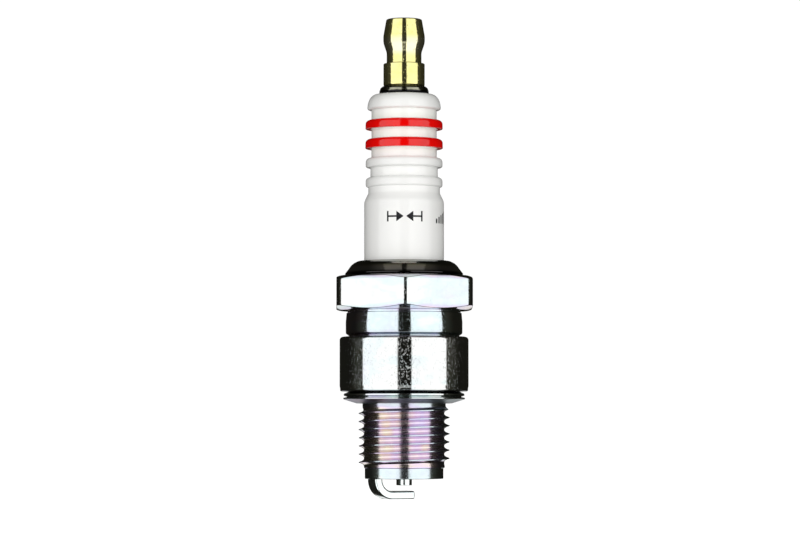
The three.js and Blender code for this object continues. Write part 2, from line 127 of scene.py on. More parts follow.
# Plating. bands are rows of (height, hue, film, wear, tone): how the film's hue, its strength, the amount
# of nicks and the brightness of the metal change up the piece. The tone is painted shade: where it is low,
# the metal is mixed towards a near black in the gap under the crimped lip, on the lip, on the hexagon's top,
# in the recess, at the top of the relief and under the gasket.
SHELL_BANDS = [
    (-13.5, 0.14, 0.8, 0.2, 1.0),
    (-11.9, 0.14, 0.8, 0.2, 1.0),
    (-11.5, 0.62, 0.9, 0.3, 1.0),
    (-2.8, 0.60, 0.9, 0.3, 1.0),
    (-2.2, 0.36, 0.7, 0.2, 0.9),
    (0.0, 0.36, 0.7, 0.2, 0.6),
    (0.3, 0.03, 0.4, 1.0, 1.0),
    (8.3, 0.03, 0.4, 1.0, 1.0),
    (8.5, 0.45, 0.8, 0.3, 0.8),
    (9.4, 0.22, 0.8, 0.3, 1.0),
    (12.1, 0.22, 0.8, 0.3, 1.0),
    (12.5, 0.52, 0.8, 0.2, 0.95),
    (13.4, 0.06, 0.6, 0.4, 1.0),
    (16.9, 0.06, 0.6, 0.4, 1.0),
    (17.3, 0.44, 0.6, 0.2, 0.8),
    (17.75, 0.44, 0.6, 0.2, 0.8),
    (17.85, 0.42, 0.5, 0.2, 0.0),
    (17.93, 0.42, 0.5, 0.2, 0.0),
    (18.0, 0.42, 0.5, 0.2, 0.06),
    (18.2, 0.42, 0.5, 0.2, 0.12),
    (18.4, 0.42, 0.5, 0.2, 1.0),
    (18.9, 0.60, 0.4, 0.2, 1.0),
    (19.4, 0.90, 0.5, 0.2, 0.4),
    (20.5, 0.90, 0.5, 0.2, 0.3),
]
GASKET_BANDS = [
    (-2.0, 0.40, 0.8, 0.3, 0.35),
    (-1.3, 0.40, 0.8, 0.3, 0.5),
    (-1.15, 0.25, 0.4, 0.3, 1.0),
    (0.0, 0.25, 0.4, 0.3, 1.0),
]
# The film's tint along its hue.
FILM_RAINBOW = [
    (0.0, (1.0, 1.0, 1.0)),
    (0.12, (0.80, 0.98, 1.0)),
    (0.28, (0.80, 0.90, 1.0)),
    (0.42, (0.76, 0.70, 1.0)),
    (0.56, (0.95, 0.74, 0.94)),
    (0.70, (1.0, 0.83, 0.75)),
    (0.84, (1.0, 0.96, 0.76)),
    (1.0, (0.96, 1.0, 0.92)),
]
# How the film's hue changes for each metre towards +X, below the hexagon and from the hexagon up.
HUE_DRIFT_BELOW = -16.0
HUE_DRIFT_ABOVE = 14.0
HUE_DROP_ON_CRESTS = 0.3
# Near black that the bands' tone mixes into the metal as painted shade.
PAINTED_SHADE_STEEL = (0.012, 0.011, 0.008)


# ---------------------------------------------------------------- mesh helpers

def rounded(corners, steps=6, support=0.05):
    """[radius, height] outline through corners given as (radius, height, fillet). Each fillet is an arc with
    a support point on either side, which keeps the flat stretches flat in smooth shading. Neighbouring
    fillets share a short stretch in proportion to their size, and a nearly straight corner gets none."""
    nearly_straight = math.radians(88.5)
    usable = 0.95  # of a stretch, shared by the fillets at its ends
    points = []
    count = len(corners)
    fillets = [corner[2] if len(corner) > 2 else 0.0 for corner in corners]
    for i, corner in enumerate(corners):
        here = np.array(corner[:2], float)
        fillet = fillets[i]
        if fillet <= 0:
            points.append(here)
            continue
        before = np.array(corners[(i - 1) % count][:2], float) - here
        after = np.array(corners[(i + 1) % count][:2], float) - here
        length_before, length_after = np.linalg.norm(before), np.linalg.norm(after)
        before, after = before / length_before, after / length_after
        half = math.acos(np.clip(before @ after, -1, 1)) / 2
        if half > nearly_straight:
            points.append(here)
            continue
        share_before = usable * fillet / (fillet + fillets[i - 1])
        share_after = usable * fillet / (fillet + fillets[(i + 1) % count])
        cut = min(fillet / math.tan(half), share_before * length_before, share_after * length_after)
        radius = cut * math.tan(half)
        inward = (before + after) / np.linalg.norm(before + after)
        centre = here + inward * radius / math.sin(half)
        start, end = here + before * cut, here + after * cut
        if length_before > cut + 2 * support:
            points.append(start + before * support)
        first = start - centre
        last = end - centre
        turn = math.pi - 2 * half
        side = 1 if first[0] * last[1] - first[1] * last[0] > 0 else -1
        for k in range(steps + 1):
            angle = side * turn * k / steps
            c, s = math.cos(angle), math.sin(angle)
            points.append(centre + np.array([first[0] * c - first[1] * s, first[0] * s + first[1] * c]))
        if length_after > cut + 2 * support:
            points.append(end + after * support)
    return points


def finish_mesh(name, vertices, faces):
    """Object from vertices in millimetres. Vertices that meet are merged, and edges that turn by more than
    the sharp angle stay crisp."""
    sharp_angle = math.radians(32.0)
    mesh = bpy.data.meshes.new(name)
    mesh.from_pydata([tuple(v) for v in np.asarray(vertices) * MM], [], faces)
    work = bmesh.new()
    work.from_mesh(mesh)
    bmesh.ops.remove_doubles(work, verts=work.verts, dist=2e-7)
    bmesh.ops.dissolve_degenerate(work, edges=work.edges, dist=1e-8)
    bmesh.ops.recalc_face_normals(work, faces=work.faces)
    work.to_mesh(mesh)
    work.free()
    mesh.shade_smooth()
    mesh.set_sharp_from_angle(angle=sharp_angle)
    made = bpy.data.objects.new(name, mesh)
    bpy.context.scene.collection.objects.link(made)
    return made


def even_angles(sides):
    """Evenly spaced angles round the axis, starting at 0."""
    return np.linspace(0, 2 * math.pi, sides, endpoint=False)


def ring_row(angles, radius, height):
    """One ring of vertices. Radius and height are numbers or one value for each angle."""
    radius = np.broadcast_to(radius, angles.shape)
    height = np.broadcast_to(height, angles.shape)
    return np.stack([radius * np.cos(angles), radius * np.sin(angles), height], axis=1)


def helix_rows(angles, thread, base_radius):
    """Rows that follow a right-handed thread, and the number of rows to a turn. Row m at the last angle meets
    row m + per_turn at the first. Rows past either end collapse on to a plain ring there."""
    # Shares of a turn at which the rows run, close together on the crest and wide apart in the root.
    spread = np.array([0, 0.025, 0.045, 0.07, 0.105, 0.15, 0.205, 0.27, 0.34, 0.42])
    offsets = np.concatenate([-spread[:0:-1], spread, [0.5]])

    def turn_of(height):
        """Turns up to a height from the one where a crest crosses +X."""
        return (height - thread["height_at_x"]) / thread["pitch"]

    low, high = math.floor(turn_of(thread["bottom"])) - 2, math.ceil(turn_of(thread["top"])) + 1
    rows = []
    for turn in range(low, high + 1):
        along = turn + angles / (2 * math.pi)
        from_end = np.minimum(along - turn_of(thread["first"]), turn_of(thread["last"]) - along)
        grown = np.clip(from_end / thread["fade"], 0, 1)
        grown = grown * grown * (3 - 2 * grown)
        for offset in offsets:
            height = thread["height_at_x"] + thread["pitch"] * (along + offset)
            inside = (height > thread["bottom"]) & (height < thread["top"])
            height = np.clip(height, thread["bottom"], thread["top"])
            flank = max(abs(offset) - thread["flat"], 0) / (0.5 - thread["flat"])
            crest = (1 - flank) ** thread["sharpness"]
            base = base_radius(height)
            radius = base + (thread["crest"] - base) * crest * grown * inside
            rows.append(ring_row(angles, radius, height))
    return rows, len(offsets)


def seam(row, helix, per_turn):
    """The row that continues this one past the seam."""
    if row in helix:
        return min(row + per_turn, helix[-1])
    return row


def polar_piece(name, rows, helix=range(0), per_turn=0):
    """Closed piece from rings of vertices. Rows in the range helix shift by per_turn rows at the seam."""
    count = len(rows[0])
    vertices = np.concatenate(rows)
    faces = []
    for j in range(len(rows)):
        following = (j + 1) % len(rows)
        for i in range(count):
            if i < count - 1:
                a, b = (j, i + 1), (following, i + 1)
            else:
                a, b = (seam(j, helix, per_turn), 0), (seam(following, helix, per_turn), 0)
            corners = [(j, i), a, b, (following, i)]
            faces.append([row * count + column for row, column in corners])
    return finish_mesh(name, vertices, faces)


def turned_piece(name, outline, sides, thread=None):
    """Piece turned about the Z axis from a closed [radius, height] outline, listed anticlockwise with radius
    to the right. thread is (index, rows, rows to a turn): helical rows that go in before that point."""
    angles = even_angles(sides)
    rows = [ring_row(angles, max(point[0], 0.0), point[1]) for point in outline]
    if thread is None:
        return polar_piece(name, rows)
    index, threaded, per_turn = thread
    rows[index:index] = threaded
    return polar_piece(name, rows, range(index, index + len(threaded)), per_turn)


# ---------------------------------------------------------------- pieces

def hexagon_angles():
    """Angles of the shell's grid: dense round the hexagon's corners, even on its flats, and starting at 0."""
    corner = HEX["corner"]
    normals = np.radians(np.linspace(-30, 30, 13))
    fillet = np.arctan2(corner * np.sin(normals), HEX_CORNER_CENTRE + corner * np.cos(normals))
    edge = fillet[-1]
    guard = math.radians(0.25)  # from a corner's last column to the flat's first
    flat = np.linspace(edge + guard, math.pi / 3 - edge - guard, 23)
    sector = np.concatenate([fillet, flat])
    every = np.concatenate([sector + math.radians(30 + 60 * k) for k in range(6)])
    return np.sort(np.mod(every, 2 * math.pi).round(12))


def hexagon_radius(angles):
    """Distance from the axis to the hexagon's side, with rounded corners."""
    centre, corner = HEX_CORNER_CENTRE, HEX["corner"]
    from_corner = np.mod(angles - math.radians(30) + math.pi / 6, math.pi / 3) - math.pi / 6
    edge = math.atan2(corner * 0.5, centre + corner * math.cos(math.pi / 6))
    round_part = centre * np.cos(from_corner) + np.sqrt(
        np.maximum(corner ** 2 - (centre * np.sin(from_corner)) ** 2, 0))
    flat_part = HEX_HALF / np.cos(math.pi / 6 - np.abs(from_corner))
    return np.where(np.abs(from_corner) <= edge, round_part, flat_part)


def hexagon_rows(angles):
    """Rings of the hexagon, from its lower face over the lower cone and the flats to its upper face. Each
    ring below has its match above."""
    side = hexagon_radius(angles)
    slope = math.tan(math.radians(HEX["cone"]))
    face = HEX["face"]
    edge = 0.1  # width of the small round between a cone and a flat
    cone_start, cone_end = 0.03, 0.05  # margins that keep the cone's ends crisp
    below, above = [], []

    def pair(radius, drop):
        """One ring on the lower side and its match on the upper side, at a distance inside the faces."""
        below.append(ring_row(angles, radius, HEX["bottom"] + drop))
        above.append(ring_row(angles, radius, HEX["top"] - drop))

    for inset in (-0.3, -0.05):
        pair(face + inset, 0.0)
    for share in (0.08, 0.3, 0.65, 1.0):
        radius = face + cone_start + (side - edge - cone_end - face - cone_start) * share
        pair(radius, (radius - face) * slope)
    for inset, extra in ((edge, -edge * slope), (0.045, 0.0), (0.012, 0.04), (0.0, 0.1), (0.0, 0.16)):
        pair(side - inset, (side - face) * slope + extra)
    return below + above[::-1]


def shell_core(height):
    """Radius under the shell's thread, which widens to the relief over the last turn."""
    upper = np.clip((height - THREAD["widens_from"]) / THREAD["widens_over"], 0, 1)
    return THREAD["root"] + (RELIEF - THREAD["root"]) * upper


def shell_piece():
    """Metal shell: pilot, thread, relief, seat cylinder, recess, hexagon, crimped lip and bore."""
    angles = hexagon_angles()
    pilot, cylinder, recess, crimp = PILOT, SEAT_CYLINDER, RECESS, CRIMP
    foot = cylinder["radius"] - cylinder["foot_inset"]
    threaded, per_turn = helix_rows(angles, THREAD, shell_core)
    rows = []

    def outline(corners, steps):
        """Add the rings of one stretch of the profile."""
        rows.extend(ring_row(angles, radius, height) for radius, height in rounded(corners, steps))

    # Firing end.
    outline([
        (FIRING_BORE, pilot["bottom"] + 0.4),
        (FIRING_BORE, pilot["bottom"], 0.12),
        (pilot["radius"], pilot["bottom"], 0.14),
        (pilot["radius"], THREAD["bottom"] - 0.08, 0.03),
        (THREAD["root"], THREAD["bottom"]),
    ], 5)
    helix = range(len(rows), len(rows) + len(threaded))
    rows.extend(threaded)
    # Relief, seat cylinder and recess.
    outline([
        (RELIEF, -1.7),
        (RELIEF, 0.0, 0.15),
        (foot, 0.0, 0.36),
        (foot, 0.4, 0.3),
        (cylinder["radius"], 0.85, 0.6),
        (cylinder["radius"], cylinder["top"], 0.5),
        (recess["neck"], cylinder["top"] + 0.04, 0.06),
        (recess["neck"], recess["neck_top"] - 0.22, 0.06),
        (recess["radius"], recess["neck_top"] + 0.12, 0.3),
        (recess["radius"] + 0.01, 10.6, 1.5),
        (recess["upper_radius"], recess["top"], 0.07),
        (COLLAR_RADIUS, recess["top"] + 0.03, 0.04),
        (COLLAR_RADIUS, HEX["bottom"], 0.08),
        (HEX["face_start"], HEX["bottom"]),
    ], 5)
    rows.extend(hexagon_rows(angles))
    # Crimped lip, rolled in on to the insulator, and then the bore from the top down.
    outline([
        (HEX["face_start"], HEX["top"]),
        (crimp["neck"], HEX["top"], 0.12),
        (crimp["neck"], crimp["bottom"], 0.1),
        (crimp["radius"], crimp["bottom"] + 0.02, 0.09),
        (crimp["radius"], crimp["cone_bottom"], 0.09),
        (8.58, 18.72, 0.9),
        (8.17, 19.3, 0.7),
        (7.72, 19.68, 0.5),
        (7.1, 19.98, 0.3),
        (6.42, crimp["top"], 0.1),
        (6.26, 19.85, 0.05),
        (6.26, 19.62, 0.05),
        (6.9, 19.5, 0.2),
        (SHELL_BORE - 0.1, 19.0, 0.2),
        (SHELL_BORE, 18.6, 0.2),
        (SHELL_BORE, 4.45, 0.3),
        (5.1, 1.95, 0.3),
        (5.1, -1.8, 0.1),
        (4.0, -2.9, 0.1),
        (4.0, -4.0, 0.1),
        (FIRING_BORE, -4.8, 0.1),
        (FIRING_BORE, -9.0),
    ], 4)
    piece = polar_piece("shell", rows, helix, per_turn)
    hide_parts("metal_shell")
    return piece


def insulator_piece():
    """Glazed insulator with its head, four ribs and flared body, and the hidden shoulder, stem and nose."""
    corners = [
        (ELECTRODE_BORE, -12.2, 0.1),
        (2.35, -12.2, 0.3),
        (3.75, -2.7, 0.8),
        (4.95, -1.5, 0.3),
        (4.95, 2.1, 0.3),
        (7.45, 4.6, 0.5),
        (7.45, 15.45, 0.5),
        (BODY_RADIUS, 15.45, 0.1),
        (BODY_RADIUS, 29.15, 1.6),
        (GROOVE_BELOW_RIBS, 30.45, 0.9),
    ]
    groove = GROOVE_BELOW_RIBS
    for bottom, top, radius, above, lower_edge, upper_edge in RIBS:
        corners.append((groove, bottom - 0.02, 0.12))
        corners.append((radius, bottom + 0.02, lower_edge))
        corners.append((radius - 0.02, top, upper_edge))
        corners.append((above, top + 0.02, 0.12))
        groove = above
    corners += [
        (groove, 43.3, 0.12),
        (5.62, 43.36, 0.35),
        (CROWN["centre"] + CROWN["reach"], CROWN["bottom"]),
    ]
    outline = rounded(corners)
    for k in range(CROWN["steps"] + 1):
        angle = math.pi / 2 * k / CROWN["steps"]
        radius = CROWN["centre"] + CROWN["reach"] * math.cos(angle)
        outline.append(np.array([radius, CROWN["bottom"] + CROWN["rise"] * math.sin(angle)]))
    top = CROWN["bottom"] + CROWN["rise"]
    outline += rounded([
        (3.9, top),
        (STEM_BORE, top, 0.15),
        (STEM_BORE, -1.0, 0.1),
        (ELECTRODE_BORE, -1.6, 0.1),
        (ELECTRODE_BORE, -6.0),
    ], 4)
    piece = turned_piece("ceramic", outline, 192)
    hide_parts("insulator")
    return piece


def printed_stroke(start, end, span_start, span_end):
    """Corners and faces of one printed stroke, wrapped on the body. start and end are distances round the
    body from the front, and each span is the stroke's (bottom, top) there."""
    outside, inside = BODY_RADIUS + INK["proud"], BODY_RADIUS - INK["sunk"]
    steps = math.ceil((end - start) / INK["longest_side"])
    corners, faces = [], []
    for k in range(steps + 1):
        share = k / steps
        angle = (start + (end - start) * share) / BODY_RADIUS - math.pi / 2
        low, high = ((1 - share) * a + share * b for a, b in zip(span_start, span_end))
        for radius, height in ((outside, low), (outside, high), (inside, high), (inside, low)):
            corners.append((radius * math.cos(angle), radius * math.sin(angle), height))
        if k:
            for side in range(4):
                following = (side + 1) % 4
                faces.append([4 * k - 4 + side, 4 * k + side, 4 * k + following, 4 * k - 4 + following])
    last = 4 * steps
    return corners, faces + [[0, 1, 2, 3], [last + 3, last + 2, last + 1, last]]


def printed_piece():
    """Printed marks: a spark-gap sign of two facing arrowheads on leads, and a row of rising bars."""
    def centred(half):
        """Bottom and top of a stroke that is centred on the sign's height."""
        return SIGN["height"] - half, SIGN["height"] + half

    tip, lead, bar = (centred(SIGN[key]) for key in ("half_tip", "half_lead", "half_bar"))
    parts = [
        (SIGN["tip"], SIGN["arrow_end"], tip, bar),
        (SIGN["arrow_end"], SIGN["lead_end"], lead, lead),
        (SIGN["lead_end"], SIGN["bar_end"], bar, bar),
    ]
    strokes = [(-far, -near, span_far, span_near) for near, far, span_near, span_far in parts] + parts
    for k in range(BARS["count"]):
        start = BARS["first"] + BARS["pitch"] * k
        span = (BARS["foot"], BARS["foot"] + BARS["shortest"] + BARS["rise"] * k)
        strokes.append((start, start + BARS["width"], span, span))
    vertices, faces = [], []
    for stroke in strokes:
        corners, sides = printed_stroke(*stroke)
        faces += [[len(vertices) + corner for corner in face] for face in sides]
        vertices += corners
    return finish_mesh("printed_marks", vertices, faces)


def nut_piece():
    """Turned brass nut with its collar, waist, bulge and blind bore."""
    nut = NUT
    outline = rounded([
        (nut["bore_mouth"], nut["bottom"], 0.05),
        (nut["radius"], nut["bottom"], 0.2),
        (nut["radius"], nut["collar_top"], 0.14),
        (nut["waist"], nut["collar_top"], 0.1),
        (nut["waist"], nut["waist_top"], 1.6),
        (nut["bulge"], nut["bulge_bottom"], 2.6),
        (nut["bulge"], nut["bulge_top"], 2.6),
        (nut["top_radius"], nut["top"], 0.24),
        (nut["dimple"], nut["top"], 0.02),
        (0.0, nut["top"]),
        (0.0, 55.0),
        (nut["bore"], 54.0, 0.05),
        (nut["bore"], 47.35, 0.05),
    ], 8)
    piece = turned_piece("brass_terminal_nut", outline, 144)
    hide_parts("terminal_nut")
    return piece


def stud_piece():
    """Stud: rounded flange on the insulator, M4 thread above, and the hidden stem with its ring grooves."""
    root = STUD_THREAD["root"]
    grip = []
    for k in range(STUD_GRIP["rings"]):
        start = STUD_GRIP["first"] + STUD_GRIP["pitch"] * k
        grip += [
            (STUD_GRIP["crest"], start, 0.05),
            (STUD_GRIP["crest"], start + STUD_GRIP["land"], 0.05),
            (STUD_GRIP["root"], start + STUD_GRIP["groove"], 0.05),
        ]
    outline = rounded([
        (0.0, 8.55),
        (1.3, 8.55, 0.05),
        *grip,
        (STUD_GRIP["root"], 14.5, 0.05),
        (STUD_GRIP["root"], 41.6, 0.1),
        (1.9, 42.0, 0.1),
        (1.9, 45.74, 0.02),
        (3.62, 45.74, 0.1),
        (3.8, 45.95, 0.2),
        (3.8, 46.2, 0.5),
        (3.66, 46.68, 0.5),
        (3.3, 46.95, 0.2),
        (root, 46.95, 0.05),
    ], 5)
    outline.append(np.array([root, 47.05]))
    index = len(outline)
    outline += rounded([(root, 53.32), (root, 53.5, 0.12), (0.0, 53.5)], 4)
    sides = 96
    rows, per_turn = helix_rows(even_angles(sides), STUD_THREAD, lambda height: np.full_like(height, root))
    piece = turned_piece("stud_with_flange", outline, sides, (index, rows, per_turn))
    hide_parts("terminal_stud")
    return piece


def gasket_piece():
    """Folded sheet gasket: two round folds outside, sloping faces with a flat land, and the slot inside."""
    ring = GASKET
    outline = rounded([
        (ring["bore"], ring["bottom"], 0.12),
        (7.3, ring["bottom"], 0.3),
        (9.2, -1.26, 0.06),
        (9.34, -1.18, 0.05),
        (9.33, -1.0, 0.05),
        (8.7, -0.84, 0.02),
        (9.26, -0.66, 0.06),
        (9.26, -0.38, 0.14),
        (8.5, ring["top"], 0.3),
        (ring["bore"], ring["top"], 0.12),
        (ring["bore"], -0.77, 0.04),
        (ring["slot"], -0.81, 0.01),
        (ring["slot"], -0.85, 0.01),
        (ring["bore"], -0.89, 0.04),
    ], support=0.04)
    piece = turned_piece("folded_gasket", outline, 192)
    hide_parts("gasket")
    return piece


def electrode_piece():
    """Centre electrode's nickel jacket, with its head in the glass and its tip at the gap."""
    jacket = ELECTRODE
    outline = rounded([
        (0.0, jacket["tip"]),
        (jacket["radius"], jacket["tip"], 0.09),
        (jacket["radius"], -1.5, 0.05),
        (jacket["head"], -0.9, 0.05),
        (jacket["head"], -0.2, 0.05),
        (jacket["radius"], -0.2, 0.05),
        (jacket["radius"], jacket["top"], 0.05),
        (jacket["core"], jacket["top"], 0.03),
        (jacket["core"], jacket["core_tip"]),
        (0.0, jacket["core_tip"]),
    ], 5)
    piece = turned_piece("electrode_tip_and_jacket", outline, 96)
    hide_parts("center_electrode")
    return piece


def strap_section(inset):
    """The strap's section as (across, out) points: a rounded rectangle, shrunk by inset on every side."""
    edge, steps = STRAP["edge"], 4
    points = []
    for k, (sx, sy) in enumerate([(1, 1), (-1, 1), (-1, -1), (1, -1)]):
        across = sx * ((STRAP["width"] - 2 * inset) / 2 - edge)
        out = sy * ((STRAP["thickness"] - 2 * inset) / 2 - edge)
        for step_along in range(steps + 1):
            angle = math.radians(90 * k + 90 * step_along / steps)
            points.append((across + edge * math.cos(angle), out + edge * math.sin(angle)))
    return points


def strap_stations():
    """Stations from the strap's weld to its tip: distance from the axis, height, how far the strap has
    turned, and how far its section shrinks, which rounds the tip."""
    strap = STRAP
    half = strap["thickness"] / 2
    quarter = math.pi / 2
    centre_line = strap["bend"] - half
    bend_reach, bend_height = strap["outer"] - strap["bend"], strap["arm_bottom"] + strap["bend"]
    arm_height = strap["arm_bottom"] + half
    tip_start = strap["tip"] + strap["tip_round"]
    stations = []
    for height in np.linspace(PILOT["bottom"] - strap["weld_gap"], bend_height, 4)[:-1]:
        stations.append((strap["outer"] - half, height, 0.0, 0.0))
    for k in range(25):
        angle = quarter * k / 24
        reach = bend_reach + centre_line * math.cos(angle)
        stations.append((reach, bend_height - centre_line * math.sin(angle), angle, 0.0))
    for reach in np.linspace(bend_reach, tip_start, 8)[1:]:
        stations.append((reach, arm_height, quarter, 0.0))
    for k in range(1, 6):
        angle = quarter * k / 5
        inset = strap["tip_inset"] * (1 - math.cos(angle))
        stations.append((tip_start - strap["tip_round"] * math.sin(angle), arm_height, quarter, inset))
    return stations


def strap_piece():
    """Ground strap swept along its bend, with rounded edges and a rounded tip."""
    azimuth = math.radians(STRAP["azimuth"])
    vertices, faces = [], []
    stations = strap_stations()
    for reach, height, turn, inset in stations:
        section = strap_section(inset)
        for across, out in section:
            radial = reach + out * math.cos(turn)
            vertical = height - out * math.sin(turn)
            vertices.append((radial * math.cos(azimuth) - across * math.sin(azimuth),
                             radial * math.sin(azimuth) + across * math.cos(azimuth), vertical))
    ring = len(section)
    for s in range(len(stations) - 1):
        here, ahead = s * ring, (s + 1) * ring
        for k in range(ring):
            following = (k + 1) % ring
            faces.append([here + k, here + following, ahead + following, ahead + k])
    faces.append(list(range(ring)))
    last = (len(stations) - 1) * ring
    faces.append([last + k for k in range(ring)])
    piece = finish_mesh("ground_strap", vertices, faces)
    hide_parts("ground_electrode")
    return piece


# ---------------------------------------------------------------- node helpers

def add(tree, kind, sockets=None, **settings):
    """New node with settings, and its inputs set to values or linked to other nodes' outputs."""
    made = tree.nodes.new(kind)
    for name, value in settings.items():
        setattr(made, name, value)
    for name, value in (sockets or {}).items():
        if isinstance(value, bpy.types.NodeSocket):
            tree.links.new(value, made.inputs[name])
        else:
            made.inputs[name].default_value = value
    return made


def maths(tree, operation, *values):
    """Result of one operation on numbers or sockets."""
    return add(tree, "ShaderNodeMath", dict(enumerate(values)), operation=operation).outputs[0]


def weighted(tree, base, *terms):
    """Sum of values times their weights, given as (value, weight), plus a base."""
    total = None
    for value, weight in terms:
        share = maths(tree, "MULTIPLY", value, weight)
        total = share if total is None else maths(tree, "ADD", total, share)
    return maths(tree, "ADD", total, base)


def inverse(tree, value):
    """1 where the value is 0, and 0 where it is 1."""
    return maths(tree, "SUBTRACT", 1.0, value)


def step(tree, value, low, high, smooth=True):
    """0 below low, 1 above high, and a smooth or straight rise between."""
    kind = "SMOOTHSTEP" if smooth else "LINEAR"
    made = add(tree, "ShaderNodeMapRange", {"Value": value, "From Min": low, "From Max": high},
               interpolation_type=kind)
    return made.outputs["Result"]


def between(tree, value, low, high, soft):
    """1 between low and high, with soft edges centred on them."""
    rise = step(tree, value, low - soft, low + soft)
    fall = step(tree, value, high - soft, high + soft)
    return maths(tree, "SUBTRACT", rise, fall)


def ramp(tree, factor, stops):
    """Colour, and a fourth number where the stops give one, that follow a factor through the stops."""
    made = add(tree, "ShaderNodeValToRGB", {"Fac": factor})
    elements = made.color_ramp.elements
    while len(elements) < len(stops):
        elements.new(0.5)
    for element, (position, colour) in zip(elements, stops):
        element.position = position
        element.color = (*colour, 1.0)[:4]
    if len(stops[0][1]) == 4:
        return made.outputs["Color"], made.outputs["Alpha"]
    return made.outputs["Color"]


def two_tone(tree, factor, first, second):
    """Colour that goes from the first to the second over the middle of a noise's range."""
    return ramp(tree, factor, [(0.3, first), (0.7, second)])


def mix(tree, factor, first, second, blend="MIX"):
    """Mix of two colours, each a socket or three numbers."""
    made = add(tree, "ShaderNodeMix", data_type="RGBA", blend_type=blend)
    values = {"Factor_Float": factor, "A_Color": first, "B_Color": second}
    for socket in made.inputs:
        if socket.identifier not in values:
            continue
        value = values[socket.identifier]
        if isinstance(value, bpy.types.NodeSocket):
            tree.links.new(value, socket)
        elif socket.identifier == "Factor_Float":
            socket.default_value = value
        else:
            socket.default_value = (*value, 1.0)
    return made.outputs[2]


def noise(tree, vector, scale, detail=2.0, roughness=0.5, distortion=0.0):
    """Noise from 0 to 1. The scale is in features to a metre."""
    made = add(tree, "ShaderNodeTexNoise", {"Vector": vector, "Scale": scale, "Detail": detail,
                                            "Roughness": roughness, "Distortion": distortion})
    return made.outputs["Fac"]


def stretched(tree, vector, scale):
    """The coordinates with each axis scaled on its own, such as for marks that run round the axis."""
    return add(tree, "ShaderNodeMapping", {"Vector": vector, "Scale": scale}).outputs["Vector"]


def speckles(tree, place, scale, low, high, distortion=0.0):
    """Small sparse marks, 0 to 1, like pits and nicks in plating."""
    return step(tree, noise(tree, place, scale, 3.0, 0.6, distortion), low, high)


def bump(tree, height, distance, normal=None):
    """Normal bent by a height from 0 to 1, which stands for a depth in millimetres."""
    sockets = {"Height": height, "Distance": distance * MM, "Strength": 1.0}
    if normal is not None:
        sockets["Normal"] = normal
    return add(tree, "ShaderNodeBump", sockets).outputs["Normal"]


def material(name, **constants):
    """New material: its node tree, its shader and its object coordinates. Constants go on the shader's own
    sockets, with underscores for spaces."""
    made = bpy.data.materials.new(name)
    made.use_nodes = True
    tree = made.node_tree
    shader = tree.nodes["Principled BSDF"]
    for key, value in constants.items():
        shader.inputs[key.replace("_", " ")].default_value = value
    place = add(tree, "ShaderNodeTexCoord").outputs["Object"]
    return made, tree, shader, place


def surface(tree, shader, colour, roughness, normal):
    """Link a material's colour, roughness and normal to its shader."""
    for name, socket in (("Base Color", colour), ("Roughness", roughness), ("Normal", normal)):
        tree.links.new(socket, shader.inputs[name])


def radius_and_height(tree, place):
    """Distance from the axis and height, both in millimetres."""
    split = add(tree, "ShaderNodeSeparateXYZ", {"Vector": place})
    across = maths(tree, "POWER", split.outputs["X"], 2.0)
    along = maths(tree, "POWER", split.outputs["Y"], 2.0)
    radius = maths(tree, "SQRT", maths(tree, "ADD", across, along))
    return maths(tree, "DIVIDE", radius, MM), maths(tree, "DIVIDE", split.outputs["Z"], MM)


# ---------------------------------------------------------------- materials

def film_hue(tree, place, radius, height, level):
    """Hue of the plating's film: the band's level, wandering in patches and drifting from left to right,
    and lower on the crests of the thread."""
    patches = noise(tree, stretched(tree, place, (1, 1, 1.8)), 190, 2.0, 0.5, 0.3)
    wander = maths(tree, "SUBTRACT", patches, 0.5)
    across = add(tree, "ShaderNodeSeparateXYZ", {"Vector": place}).outputs["X"]
    from_hexagon = step(tree, height, 12.3, 12.6)
    drift = weighted(tree, HUE_DRIFT_BELOW, (from_hexagon, HUE_DRIFT_ABOVE - HUE_DRIFT_BELOW))
    hue = weighted(tree, maths(tree, "ADD", level, wander), (across, drift))
    ridge = step(tree, radius, THREAD["root"] + 0.15, THREAD["crest"], smooth=False)
    on_thread = maths(tree, "LESS_THAN", height, THREAD["top"])
    return weighted(tree, hue, (maths(tree, "MULTIPLY", ridge, on_thread), -HUE_DROP_ON_CRESTS))


